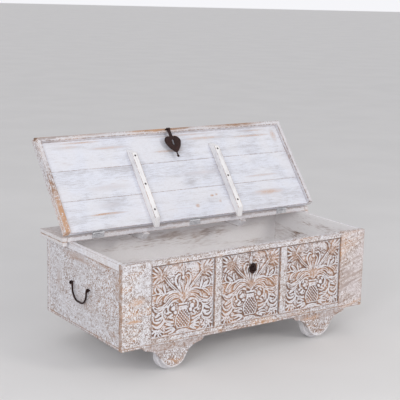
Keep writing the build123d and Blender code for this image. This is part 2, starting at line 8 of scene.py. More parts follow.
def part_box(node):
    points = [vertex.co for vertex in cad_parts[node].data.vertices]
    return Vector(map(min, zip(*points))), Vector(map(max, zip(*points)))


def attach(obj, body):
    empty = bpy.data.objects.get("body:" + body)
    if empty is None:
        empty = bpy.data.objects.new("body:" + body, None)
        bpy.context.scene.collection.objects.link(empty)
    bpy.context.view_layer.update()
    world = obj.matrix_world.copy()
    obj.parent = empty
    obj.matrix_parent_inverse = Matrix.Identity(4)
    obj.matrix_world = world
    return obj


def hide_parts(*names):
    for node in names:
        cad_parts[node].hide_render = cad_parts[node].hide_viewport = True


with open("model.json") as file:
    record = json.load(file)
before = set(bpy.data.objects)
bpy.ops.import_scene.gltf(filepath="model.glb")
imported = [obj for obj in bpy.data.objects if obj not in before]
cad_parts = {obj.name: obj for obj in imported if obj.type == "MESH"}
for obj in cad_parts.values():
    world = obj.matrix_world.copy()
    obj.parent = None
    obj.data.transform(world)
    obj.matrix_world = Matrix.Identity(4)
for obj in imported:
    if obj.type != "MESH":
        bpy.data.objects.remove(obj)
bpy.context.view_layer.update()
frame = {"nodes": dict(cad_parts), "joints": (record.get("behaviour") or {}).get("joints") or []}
nodes = frame["nodes"]
joints = {joint["name"]: joint for joint in frame["joints"]}
mm = 0.001

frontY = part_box("front_left_stile")[0].y
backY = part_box("back_board")[1].y
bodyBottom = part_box("back_board")[0].z
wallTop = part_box("back_board")[1].z
bodyMidY = (frontY + backY) / 2
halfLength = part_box("back_board")[1].x
lidTilt = math.radians(joints["lid_hinge"]["range_deg"][1] - 90)  # how far past upright it leans
lidPivot = Vector(joints["lid_hinge"]["pos_m"])
lidUp = Vector((0, math.sin(lidTilt), math.cos(lidTilt)))
lidIn = Vector((0, -math.cos(lidTilt), math.sin(lidTilt)))
print("frame read")


class Wire:  # one socket; + - and * between wires and numbers add Math nodes
    def __init__(self, tree, socket=None):
        self.tree = tree
        self.socket = socket

    def add(self, kind, settings, values, out=0):
        node = self.tree.nodes.new(kind)
        for name, value in settings.items():
            setattr(node, name, value)
        for key, value in values.items():
            if isinstance(value, Wire):
                self.tree.links.new(value.socket, node.inputs[key])
            else:
                node.inputs[key].default_value = value
        return Wire(self.tree, node.outputs[out])

    def maths(self, operation, first, second=0.0):
        return self.add("ShaderNodeMath", {"operation": operation}, {0: first, 1: second})

    def __add__(self, other):
        return self.maths("ADD", self, other)

    def __radd__(self, other):
        return self.maths("ADD", other, self)

    def __sub__(self, other):
        return self.maths("SUBTRACT", self, other)

    def __rsub__(self, other):
        return self.maths("SUBTRACT", other, self)

    def __mul__(self, other):
        return self.maths("MULTIPLY", self, other)

    def __rmul__(self, other):
        return self.maths("MULTIPLY", other, self)

    def least(self, other):
        return self.maths("MINIMUM", self, other)

    def most(self, other):
        return self.maths("MAXIMUM", self, other)

    def size(self):
        return self.maths("ABSOLUTE", self)

    def rise(self, low, high):  # 0 below low, 1 above high, smooth between
        values = {"Value": self, "From Min": low, "From Max": high}
        return self.add("ShaderNodeMapRange", {"interpolation_type": "SMOOTHSTEP"}, values)

    def tint(self, under, over):  # self is how much of over covers under
        settings = {"data_type": "RGBA"}
        return self.add("ShaderNodeMix", settings, {0: self, 6: colour(under), 7: colour(over)}, out=2)

    def noise(self, scale, detail, roughness, twist=0.0):
        values = {"Vector": self, "Scale": scale, "Detail": detail,
                  "Roughness": roughness, "Distortion": twist}
        return self.add("ShaderNodeTexNoise", {}, values)

    def mapped(self, scale=(1, 1, 1), turn=(0, 0, 0), shift=(0, 0, 0)):
        values = {"Vector": self, "Scale": scale, "Rotation": turn, "Location": shift}
        return self.add("ShaderNodeMapping", {}, values)

    def far(self, centre, radii):  # 1 at the rim of an ellipsoid, less inside it
        offset = self.add("ShaderNodeVectorMath", {"operation": "SUBTRACT"}, {0: self, 1: centre})
        scaled = offset.add("ShaderNodeVectorMath", {"operation": "DIVIDE"}, {0: offset, 1: radii})
        return scaled.add("ShaderNodeVectorMath", {"operation": "LENGTH"}, {0: scaled}, out=1)

    def part(self, axis):
        return self.add("ShaderNodeSeparateXYZ", {}, {0: self}, out="xyz".index(axis))

    def towards(self, start, end):  # 0 at start and 1 at end, whichever of them is higher
        ramp = self.rise(min(start, end), max(start, end))
        return ramp if end > start else 1 - ramp


def colour(value):
    return value if isinstance(value, Wire) else (*value, 1)


class Finish:  # a material, with its object coordinates ready as self.place
    def __init__(self, name, onLid=False):
        self.material = bpy.data.materials.new(name)
        self.material.use_nodes = True
        self.tree = self.material.node_tree
        self.shader = self.tree.nodes["Principled BSDF"]
        self.place = Wire(self.tree).add("ShaderNodeTexCoord", {}, {}, out="Object")
        if onLid:  # x along the lid, y up it from the hinge, z out of its inner face
            shift = (0, -lidPivot.dot(lidUp), -lidPivot.dot(lidIn))
            self.place = self.place.mapped(turn=(lidTilt - math.pi / 2, 0, 0), shift=shift)

    def attribute(self, name):
        return self.place.add("ShaderNodeAttribute", {"attribute_name": name}, {}, out=2)

    def set(self, **sockets):
        for name, value in sockets.items():
            target = self.shader.inputs[name.replace("_", " ")]
            if isinstance(value, Wire):
                self.tree.links.new(value.socket, target)
            else:
                target.default_value = value
        return self.material

    def bump(self, height, depth):
        return self.place.add("ShaderNodeBump", {}, {"Height": height, "Distance": depth, "Strength": 1.0})


def lidBox(node):  # a lid node's box in the lid's own directions
    points = np.empty(len(nodes[node].data.vertices) * 3)
    nodes[node].data.vertices.foreach_get("co", points)
    points = points.reshape(-1, 3) - np.array(lidPivot)
    local = np.stack((points[:, 0], points @ np.array(lidUp), points @ np.array(lidIn)), 1)
    return local.min(0), local.max(0)


woodLook = {
    "white": (0.84, 0.84, 0.88),
    "shade": (0.66, 0.64, 0.66),
    "cream": (0.80, 0.75, 0.70),
    "bright": (0.97, 0.95, 0.94),  # the paint inside the chest: clean, and made lighter still as painted light
    "brown": (0.205, 0.100, 0.055),
    "taupe": (0.31, 0.195, 0.138),
    "tan": (0.62, 0.33, 0.16),
    "rust": (0.52, 0.29, 0.165),
    "dark": (0.012, 0.010, 0.010),  # painted shade in the countersinks, and a dark spot at the lid's front corner
    "fibreScale": 330,
    "bandScale": 36,
    "cloudScale": 8,
    "blotchScale": 80,
    "gritScale": 300,
    "stripeScale": 24,
    "bumpDepth": 0.0005,
}
grainRuns = {"x": (0.09, 1, 1), "y": (1, 0.09, 1), "z": (1, 1, 0.09)}  # stretched along the board


class Grain:  # the noises that a painted board's wear, paint and bump share
    def __init__(self, point, run, look):
        turned = point.mapped(turn=(0, look["slant"], 0)) if "slant" in look else point
        self.along = turned.mapped(scale=grainRuns[run])
        self.fibre = self.along.noise(woodLook["fibreScale"], 3, 0.6)
        self.band = self.along.noise(woodLook["bandScale"], 3, 0.55, 0.5)
        self.cloud = point.noise(woodLook["cloudScale"], 2, 0.5)
        self.blotch = point.noise(woodLook["blotchScale"], 3, 0.6)
        self.grit = point.noise(woodLook["gritScale"], 2, 0.6)
        self.worm = point.noise(look["wormScale"], 2, 0.55, 0.9)


def speckles(grain, look):  # short crooked marks and fine grains where the paint has gone
    worms = 1 - (grain.worm - 0.5).size().rise(0.012, look.get("wormWide", 0.060))
    rubbed = (grain.blotch * 0.3 + grain.cloud * 0.7 + (grain.grit - 0.5) * 0.3).rise(0.42, 0.58)
    grains = (rubbed * 0.14 + grain.grit * 0.60 + grain.blotch * 0.26).rise(0.58, 0.70) * 0.7
    return (worms * (0.55 + rubbed * 0.60)).most(grains)


def longPatches(grain, look):  # rubbed patches along the grain
    length = grain.along.mapped(shift=(0.4, 0.1, 0.7)).noise(look.get("patchScale", 30), 2, 0.5)
    return (length * 0.6 + grain.fibre * 0.25 + grain.blotch * 0.15).rise(0.50, 0.60) * look["patch"]


def wornEdges(point, grain, box, look):  # bare on the arrises of a box
    gaps = []
    for axis, lowest, highest in zip("xyz", *box):
        wire = point.part(axis)
        gaps.append((wire - float(lowest)).size().least((float(highest) - wire).size()))
    a, b, c = gaps
    second = a.least(b).most(a.most(b).least(c))  # an arris is near two faces
    nearness = 1 - second.rise(look["edgeReach"] * 0.2, look["edgeReach"])
    return nearness * (0.25 + grain.blotch.rise(0.38, 0.58) * 0.75) * look["edge"]


def stainSpot(point, grain, centre, radii, strength):
    spot = 1 - point.far(centre, radii).rise(0.15, 1.0)
    broken = (grain.fibre * 0.35 + grain.band * 0.35 + grain.grit * 0.3).rise(0.42, 0.60)
    return spot * (0.25 + broken * 1.1) * strength


def rubbedEnd(point, grain, axis, start, end, strength, besides):  # barer from start to end, past besides
    ramp = point.part(axis).towards(start, end)
    broken = (grain.fibre * 0.40 + grain.blotch * 0.30 + grain.grit * 0.30 + ramp * 0.10).rise(0.50, 0.60)
    return ramp.rise(0.0, 0.45) * broken * strength * point.part("x").rise(besides - 0.003, besides)


def wornAndShadedLine(point, grain, axis, at, half, strength):  # a worn line or face square to an axis, which on recess edges and bead grooves is painted shade
    away = (point.part(axis) - at).size()
    return (1 - away.rise(half * 0.6, half)) * (0.45 + grain.blotch.rise(0.35, 0.60) * 0.55) * strength


def cleanStripes(grain, look):  # thin streaks in the paint inside the chest
    stripe = grain.along.noise(woodLook["stripeScale"], 4, 0.62, 0.3)
    stripe = (stripe * 0.6 + grain.fibre * 0.4).rise(0.50, 0.64)
    return stripe * (0.2 + grain.cloud.rise(0.40, 0.62) * 0.5) * look.get("innerWorn", 1.0)


# stains: centre, radii, strength. wearAlong: axis, start, end, strength, the x it lies past. dots: centre,
# reach, depth. inner: axis, start, end. lines: axis, place, half width, strength. speckled: axis, where it is
# clean, where it is worn, strength. paleRim: centre, radii, height it starts from, height it is full at
def paintedWood(name, run, look, box=None, onLid=False, shift=0.0, stains=(), wearAlong=None, dots=(),
                inner=None, lines=(), speckled=None, paleRim=None):
    finish = Finish(name, onLid)
    here = finish.place
    grain = Grain(here.mapped(shift=(shift, shift * 0.7, shift * 1.3)) if shift else here, run, look)
    speckle = speckles(grain, look)
    wear = speckle * look["worm"]
    if speckled:  # a face worn like the outside, on a piece that is clean elsewhere
        axis, clean, worn, strength = speckled
        outer = here.part(axis).towards(clean, worn)
        wear = wear.most(speckle * outer * strength)
    wear = wear.most((grain.fibre * 0.45 + grain.band * 0.55).rise(0.56, 0.70) * look["streak"])
    if "patch" in look:
        wear = wear.most(longPatches(grain, look))
    if box:
        wear = wear.most(wornEdges(here, grain, box, look))
    warm = (grain.cloud * 0.5 + grain.band * 0.5).rise(0.50, 0.66) * look["warm"]
    for stain in stains:
        spot = stainSpot(here, grain, *stain)
        wear = wear.most(spot)
        warm = warm.most(spot.rise(0.0, 0.5) * look.get("stainWarm", 1.0))
    if wearAlong:
        axis, start, end = wearAlong[:3]
        wear = wear.most(rubbedEnd(here, grain, *wearAlong))
        warm = warm.least(0.4).most(1 - here.part(axis).rise(min(start, end), max(start, end) * 0.66))
    for place in lines:
        line = wornAndShadedLine(here, grain, *place)
        wear = wear.most(line)
        warm = warm.most(line * 0.30)
    if paleRim:  # where the paint has stayed round the toe of a foot
        centre, radii, top, full = paleRim
        rim = here.far(centre, radii).rise(0.78, 0.92) * here.part("z").towards(top, full)
        wear = wear * (1 - rim * 0.8)
    wear = wear.least(1.0)
    for centre, reach, depth in dots:  # past 1 the wood darkens: painted shade in the countersinks, and a dark spot at a corner
        wear = wear.most((1 - here.far(centre, (reach,) * 3).rise(0.75, 1.15)) * depth)
    if inner:  # the clean face turned to the inside, whose paint is also lighter as painted light
        axis, start, end = inner
        within = here.part(axis).towards(start, end)
        wear = wear * (1 - within) + cleanStripes(grain, look).most(wear * 0.06) * within
    wood = grain.band.rise(0.40, 0.60).tint(woodLook["taupe"], woodLook["brown"])
    wood = (warm * 0.85).tint(wood, woodLook["tan"])
    wood = wear.rise(1.0, 1.3).tint(wood, woodLook["dark"])
    wear = wear.least(1.0)
    pale = (grain.fibre * 0.30 + grain.grit * 0.15 + grain.band * 0.25 + grain.cloud * 0.30).rise(0.36, 0.55)
    coat = pale.tint(look.get("shade", woodLook["shade"]), look.get("white", woodLook["white"]))
    if speckled:  # that face has the outside's paint too
        coat = outer.tint(coat, pale.tint(woodLook["shade"], woodLook["white"]))
    coat = (look["cream"] * grain.cloud.rise(0.35, 0.65)).tint(coat, woodLook["cream"])
    if inner:
        # painted light: the inside faces take the lighter paint
        coat = within.tint(coat, woodLook["bright"])
    return finish.set(
        Base_Color=(wear * look["strength"]).tint(coat, wood),
        Roughness=0.70 + wear * 0.2,
        Normal=finish.bump(grain.fibre * 0.35 + grain.grit * 0.2 - wear * 0.45, woodLook["bumpDepth"]),
    )


metalScales = {"grains": 160, "patches": 32}


def plainMetal(name, dark, light, metallic, roughness, bumpDepth):
    finish = Finish(name)
    grains = finish.place.noise(metalScales["grains"], 4, 0.65)
    patch = finish.place.noise(metalScales["patches"], 3, 0.6)
    blend = (grains * 0.5 + patch * 0.5).rise(0.38, 0.62)
    return finish.set(
        Base_Color=blend.tint(dark, light),
        Metallic=metallic,
        Roughness=roughness + grains * 0.2,
        Normal=finish.bump(grains, bumpDepth),
    )


def paint(name, material):
    slots = nodes[name].data.materials
    slots.clear()
    slots.append(material)


# how strong each wear is: specks (worm), lines along the grain (streak), rubbed patches, arrises (edge),
# tan in the bare wood (warm), cream in the paint, and bare wood against paint over all (strength)
outside = {"worm": 1.0, "wormScale": 82, "streak": 0.20, "warm": 0.45, "edge": 0.9, "edgeReach": 0.0040,
           "cream": 0.0, "strength": 0.95}
front = dict(outside, warm=0.85, wormScale=86, cream=0.3)
rightLook = dict(front, worm=0.95, streak=0.7, warm=1.0, patch=0.60, patchScale=75, slant=0.30,
                 white=(0.82, 0.77, 0.78), shade=(0.64, 0.57, 0.56))
footLook = dict(outside, warm=1.0, worm=1.3, wormScale=100, wormWide=0.115, edge=0.2, cream=0.15, streak=0.6,
                strength=0.92)
lippingLook = {"worm": 0.35, "wormScale": 120, "streak": 1.0, "warm": 0.9, "edge": 0.9, "edgeReach": 0.005,
               "cream": 0.1, "strength": 0.92, "patch": 0.9}
inside = {"worm": 0.10, "wormScale": 60, "streak": 0.45, "warm": 0.5, "edge": 0.7, "edgeReach": 0.003,
          "cream": 0.45, "strength": 0.5}
lidInside = {"worm": 0.06, "wormScale": 60, "streak": 0.25, "warm": 0.40, "edge": 0.8, "edgeReach": 0.0022,
             "cream": 0.30, "strength": 0.90, "white": (0.85, 0.88, 0.97), "shade": (0.57, 0.56, 0.59)}
topFace = {"worm": 0.55, "wormScale": 110, "streak": 0.5, "warm": 0.3, "edge": 0.55, "edgeReach": 0.004,
           "cream": 0.3, "strength": 0.85}
batten = {"worm": 0.03, "wormScale": 60, "streak": 0.12, "warm": 0.9, "edge": 0.9, "edgeReach": 0.0030,
          "cream": 0.0, "strength": 0.80, "white": (0.97, 0.96, 0.96)}
wheelLook = {"worm": 0.25, "wormScale": 60, "streak": 0.9, "warm": 0.1, "edge": 0.0, "edgeReach": 0.003,
             "cream": 0.2, "strength": 0.65}


def boxedWood(node, grain, look, **extras):
    paint(node, paintedWood(node + "_finish", grain, look, box=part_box(node), **extras))


def lidWood(node, grain, look, **extras):
    paint(node, paintedWood(node + "_finish", grain, look, box=lidBox(node), onLid=True, **extras))


innerSkin = (0.003, 0.001)  # in from a piece's inner face: worn as outside there, and clean from there


def innerFace(node, axis, turned):  # turned: the side of the piece that looks into the chest
    low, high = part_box(node)
    at = getattr(high if turned > 0 else low, axis)
    outer, clean = innerSkin
    return (axis, at - turned * outer, at - turned * clean)


wornAndShadedLines = {  # half widths of worn lines and faces, and how worn they are; the recess lines are partly painted shade, the bead line is painted shade
    "recess": 0.0022,
    "corner": 0.002,
    "cornerWear": 0.9,
    "beadGrooveShade": 0.0030,
    "topFace": 0.001,
    "topWear": 0.45,
    "baseUp": 0.009,
}
baseLine = ("z", bodyBottom + wornAndShadedLines["baseUp"], wornAndShadedLines["recess"], 1.0)


def recessShadeAndWear(node, axis, far):  # a frame piece is dark where its edge drops to a panel: painted shade along the recess, and some wear
    return (axis, getattr(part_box(node)[far], axis), wornAndShadedLines["recess"], 1.0)


def cornerEdge(node, far):  # bare at the chest's front corners
    return ("x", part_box(node)[far].x, wornAndShadedLines["corner"], wornAndShadedLines["cornerWear"])


def rubbedTop(node):  # a top face that is evenly rubbed
    return ("z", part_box(node)[1].z, wornAndShadedLines["topFace"], wornAndShadedLines["topWear"])


stileStains = [  # place, radii and strength
    ((-0.505, frontY, bodyBottom + 0.175), (0.050, 0.05, 0.030), 0.55),
    ((-0.520, frontY, bodyBottom + 0.105), (0.050, 0.05, 0.010), 0.80),
]
boxedWood("front_left_stile", "x", dict(front, worm=1.08), stains=stileStains,
          lines=(baseLine, cornerEdge("front_left_stile", 0), recessShadeAndWear("front_left_stile", "x", 1)))
boxedWood("front_right_stile", "x", rightLook,
          lines=(baseLine, cornerEdge("front_right_stile", 1), recessShadeAndWear("front_right_stile", "x", 0)))
boxedWood("front_top_rail", "x", front, inner=innerFace("front_top_rail", "y", 1),
          lines=(recessShadeAndWear("front_top_rail", "z", 0),))
boxedWood("front_bottom_rail", "x", dict(front, worm=1.2, wormWide=0.075, streak=0.8, warm=1.0),
          inner=innerFace("front_bottom_rail", "y", 1),
          lines=(baseLine, recessShadeAndWear("front_bottom_rail", "z", 1)))
for node in ("mullion_left", "mullion_right"):
    boxedWood(node, "z", dict(front, streak=0.4), inner=innerFace(node, "y", 1),
              lines=(recessShadeAndWear(node, "x", 0), recessShadeAndWear(node, "x", 1)))
boxedWood("back_board", "x", outside, inner=innerFace("back_board", "y", -1))
sidePatches = (  # inward from the front and down from the top, radii, strength
    ((0.035, 0.085), (0.03, 0.030, 0.075), 0.75),
    ((0.115, 0.030), (0.03, 0.110, 0.020), 0.8),
    ((0.330, 0.045), (0.03, 0.170, 0.026), 0.6),
    ((0.250, 0.210), (0.03, 0.150, 0.040), 0.35),
    ((0.060, 0.270), (0.03, 0.060, 0.025), 0.5),
    ((0.480, 0.160), (0.03, 0.030, 0.080), 0.4),
)
for side, sign in (("left", -1), ("right", 1)):
    node = "side_board_" + side
    patches = [((sign * halfLength, frontY + inward, wallTop - down), reach, strength)
               for (inward, down), reach, strength in sidePatches]
    boxedWood(node, "y", dict(outside, stainWarm=0.35, innerWorn=1.8), inner=innerFace(node, "x", -sign),
              stains=patches, lines=(baseLine,))
    node = "side_top_rail_" + side
    boxedWood(node, "y", dict(topFace, worm=0.35, streak=0.3, white=(0.90, 0.90, 0.95)),
              inner=innerFace(node, "x", -sign))
    node = "rear_lipping_" + side
    low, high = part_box(node)
    # painted shade: a dark line along the groove between the rear lipping's beads
    beadGrooveShade = ("z", (low.z + high.z) / 2, wornAndShadedLines["beadGrooveShade"], 1.0)
    boxedWood(node, "y", dict(topFace, worm=0.3, edge=0.4, warm=0.6), lines=(beadGrooveShade, rubbedTop(node)))
    boxedWood("top_batten_" + side, "y", batten)
    boxedWood("floor_bearer_" + side, "y", inside)
boxedWood("rear_top_board", "x", dict(topFace, worm=0.25, streak=0.7, edge=0.8),
          lines=(rubbedTop("rear_top_board"),))
for part in ("front", "middle", "rear"):
    boxedWood("floor_board_" + part, "x", inside)

feet = {
    "neck": ("z", bodyBottom - 0.012, 0.016, 0.60),  # browner along the stretch just under the chest
    "toeDown": 0.045,
    "toeRadii": (0.058, 1.0, 0.051),
    "rimTop": bodyBottom - 0.050,
    "rimFade": 0.012,
}
wheelWood = paintedWood("wheel_finish", "x", wheelLook)
for row in ("front", "rear"):
    for side in ("left", "right"):
        foot = f"foot_cheek_{row}_{side}"
        low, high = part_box(foot)
        toe = ((low.x + high.x) / 2, (low.y + high.y) / 2, bodyBottom - feet["toeDown"])
        boxedWood(foot, "x", footLook, lines=(feet["neck"],),
                  paleRim=(toe, feet["toeRadii"], feet["rimTop"], feet["rimTop"] - feet["rimFade"]))
        boxedWood(f"inner_cheek_{row}_{side}", "x", inside)
        paint(f"wheel_{row}_{side}", wheelWood)

lidStains = {  # place (along the lid, up it, out of its inner face), radii and strength
    "lid_board_front": [
        ((0.415, 0.356, 0.018), (0.150, 0.007, 0.02), 1.3),
        ((-0.470, 0.366, 0.018), (0.090, 0.010, 0.02), 0.55),
        ((-0.290, 0.352, 0.018), (0.140, 0.012, 0.02), 0.45),
        ((0.070, 0.384, 0.018), (0.260, 0.007, 0.02), 0.55),
        ((0.440, 0.381, 0.018), (0.110, 0.007, 0.02), 0.8),
        ((0.183, 0.362, 0.018), (0.150, 0.011, 0.02), 0.8),
        ((-0.412, 0.384, 0.018), (0.130, 0.006, 0.02), 0.7),
        ((-0.020, 0.314, 0.018), (0.110, 0.010, 0.02), 0.6),
        ((0.545, 0.350, 0.018), (0.022, 0.050, 0.02), 0.6),
    ],
    "lid_board_middle": [
        ((-0.350, 0.175, 0.018), (0.160, 0.022, 0.02), 0.22),
        ((0.400, 0.160, 0.018), (0.130, 0.008, 0.02), 0.5),
        ((0.100, 0.200, 0.018), (0.170, 0.020, 0.02), 0.25),
    ],
    "lid_board_rear": [
        ((0.400, 0.078, 0.018), (0.130, 0.022, 0.02), 0.55),
        ((-0.395, 0.064, 0.018), (0.120, 0.008, 0.02), 0.9),
        ((0.109, 0.091, 0.018), (0.014, 0.008, 0.02), 1.0),
        ((0.131, 0.094, 0.018), (0.010, 0.008, 0.02), 0.9),
        ((0.023, 0.054, 0.018), (0.016, 0.014, 0.02), 0.8),
        ((0.139, 0.062, 0.018), (0.010, 0.010, 0.02), 0.8),
        ((-0.370, 0.100, 0.018), (0.090, 0.025, 0.02), 0.22),
    ],
}
lidParts = {
    "boardShift": 0.31,  # each board's grain starts somewhere else
    "frontShift": 0.2,
    "boardSkin": (0.003, 0.001),  # in from the outside: no outside wear there, and all of it there
    "leftSkin": (0.012, 0.005),
    "frontSkin": (0.014, 0.006),
    "darkTip": (0.006, 0.015, 1.14),  # below the inner face, reach, depth
    "rubbed": (0.40, 0.08),  # up the lid: the left lipping grows barer from the first to the second
    "rubbedSide": 0.003,  # and stays as it is on its outer face, this deep
    "screwUps": (0.045, 0.160, 0.290),
    "screwReach": 0.0048,
    "screwDepth": 1.6,
}
for index, part in enumerate(("rear", "middle", "front")):
    node = "lid_board_" + part
    outerFace = float(lidBox(node)[0][2])
    none, full = lidParts["boardSkin"]
    lidWood(node, "x", lidInside, shift=lidParts["boardShift"] * index, stains=lidStains[node],
            speckled=("z", outerFace + none, outerFace + full, 0.75))
lidLeft = float(lidBox("lid_lipping_left")[0][0])
lidFront = float(lidBox("lid_lipping_front")[1][1])
lidInner = float(lidBox("lid_lipping_front")[1][2])
below, reach, depth = lidParts["darkTip"]
darkTip = ((lidLeft, lidFront, lidInner - below), reach, depth)
none, full = lidParts["leftSkin"]
lidWood("lid_lipping_left", "y", dict(lippingLook, patch=0.3), dots=[darkTip],
        wearAlong=("y", *lidParts["rubbed"], 1.0, lidLeft + lidParts["rubbedSide"]),
        speckled=("x", lidLeft + none, lidLeft + full, 1.0))
lidWood("lid_lipping_right", "y", dict(lippingLook, patch=0.6))
lippingStains = [
    ((-0.03, 0.416, 0.034), (0.24, 0.026, 0.05), 1.8),
    ((0.33, 0.416, 0.034), (0.24, 0.026, 0.05), 1.5),
    ((-0.34, 0.418, 0.034), (0.14, 0.020, 0.05), 1.3),
    ((-0.56, 0.418, 0.034), (0.08, 0.012, 0.05), 1.2),
]
none, full = lidParts["frontSkin"]
lidWood("lid_lipping_front", "x", dict(lippingLook, patch=0.7, stainWarm=0.4), shift=lidParts["frontShift"],
        stains=lippingStains, dots=[darkTip], speckled=("y", lidFront - none, lidFront - full, 0.9))
for side in ("left", "right"):
    node = "lid_batten_" + side
    low, high = lidBox(node)
    middle = (low[0] + high[0]) / 2
    # painted shade in the countersunk hole round each screw
    holeShade = [((middle, up, high[2]), lidParts["screwReach"], lidParts["screwDepth"])
             for up in lidParts["screwUps"]]
    lidWood(node, "y", batten, dots=holeShade)

iron = plainMetal("black_iron_finish", dark=(0.014, 0.005, 0.004), light=(0.042, 0.017, 0.014),
                  metallic=0.6, roughness=0.36, bumpDepth=0.0006)
zinc = plainMetal("zinc_finish", dark=(0.50, 0.51, 0.53), light=(0.80, 0.81, 0.83),
                  metallic=0.7, roughness=0.30, bumpDepth=0.0002)
screwSteel = plainMetal("screw_finish", dark=(0.02, 0.018, 0.018), light=(0.05, 0.045, 0.04),
                        metallic=0.8, roughness=0.4, bumpDepth=0.0002)
for node in ("hasp", "hasp_hanger", "staple_plate", "staple_loop", "wheel_axles"):
    paint(node, iron)
for side in ("left", "right"):
    paint("handle_bail_" + side, iron)
    paint("handle_eyes_" + side, iron)
for part in ("leaves_fixed", "leaves_lid", "pins", "screws_fixed", "screws_lid"):
    paint("hinge_" + part, zinc)
paint("lid_batten_screws", screwSteel)
print("finishes made")


carving = {
    "columns": 236,
    "rows": 230,
    "ground": 8.2,  # depth of the ground behind the frame's face, mm
    "rim": 0.01,  # how far the panel's edge is first drawn back, m, before it is set on the rear face
    "seed": 11,
    "fillers": 60,  # small gouge cuts that fill the ground
    "fillerAcross": (4, 134),
    "fillerUp": (30, 200),
    "wobble": 0.8,  # how far a stroke's points stray from the drawing, mm
    "bareAndShade": {"left": -0.02, "middle": 0.05, "right": 0.04},  # how much barer each panel is
    "strip": ((0.140, 0.168), (0.182, 0.187)),  # a warmer strip: its lower and upper edge
    "upper": (0.186, 0.215),  # where the flatter and more evenly rubbed upper part starts
    "brownSpots": ((-0.094, 0.252, 0.038), (0.094, 0.252, 0.034), (0.0, 0.172, 0.026)),
    "fibreScale": 420,
    "speckScale": 310,
    "cloudScale": 15,
}


def carvedWood(node, moreBare):  # the carved mesh carries how sunk and how proud each point is, and a painted shade on the undersides of the strokes
    finish = Finish(node + "_finish")
    point = finish.place
    sunk = finish.attribute("sunk")
    proud = finish.attribute("proud")
    underShade = finish.attribute("underShade")
    fibre = point.mapped(scale=grainRuns["x"]).noise(carving["fibreScale"], 3, 0.6)
    speck = point.noise(carving["speckScale"], 3, 0.6)
    blotch = point.noise(woodLook["blotchScale"], 4, 0.62)
    cloud = point.noise(carving["cloudScale"], 2, 0.5)
    up = point.part("z") - bodyBottom
    stripStart, stripEnd = carving["strip"]
    strip = up.rise(*stripStart) * (1 - up.rise(*stripEnd))
    warm = (strip * 0.13 + cloud * 0.82 + (blotch - 0.5) * 0.6 + (speck - 0.5) * 0.3).rise(0.34, 0.60)
    upper = up.rise(*carving["upper"])
    # painted shade: the undersides of the strokes are browned along with the bare wood
    bareAndShade = sunk * (1.05 - upper * 0.35) + underShade * (0.5 - upper * 0.1) - proud * 0.18
    bareAndShade = bareAndShade + (0.5 - speck) * 0.9 + (0.5 - blotch) * 1.4 + strip * 0.05 + upper * 0.08
    low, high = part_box(node)
    for side, height, reach in carving["brownSpots"]:  # the corner flowers and the foot of the stems
        centre = ((low.x + high.x) / 2 + side, frontY, bodyBottom + height)
        spot = 1 - point.far(centre, (reach, 1.0, reach)).rise(0.30, 1.0)
        bareAndShade = bareAndShade + spot * 0.17
        warm = warm.most(spot * (0.20 + speck * 0.6))
    bareAndShade = (bareAndShade + moreBare).rise(-0.08, 0.56)
    wood = (warm * 0.85).tint(woodLook["brown"], woodLook["rust"])
    wood = (fibre.rise(0.4, 0.7) * 0.3).tint(wood, woodLook["taupe"])
    white = (speck * 0.6 + fibre * 0.4).rise(0.34, 0.58).tint(woodLook["shade"], woodLook["white"])
    white = (warm * (0.12 + bareAndShade * 0.40)).tint(white, woodLook["rust"])
    return finish.set(
        Base_Color=(bareAndShade * 0.95).tint(white, wood),
        Roughness=0.8,
        Normal=finish.bump(speck * 0.4 + fibre * 0.3 - bareAndShade * 0.3, woodLook["bumpDepth"]),
    )


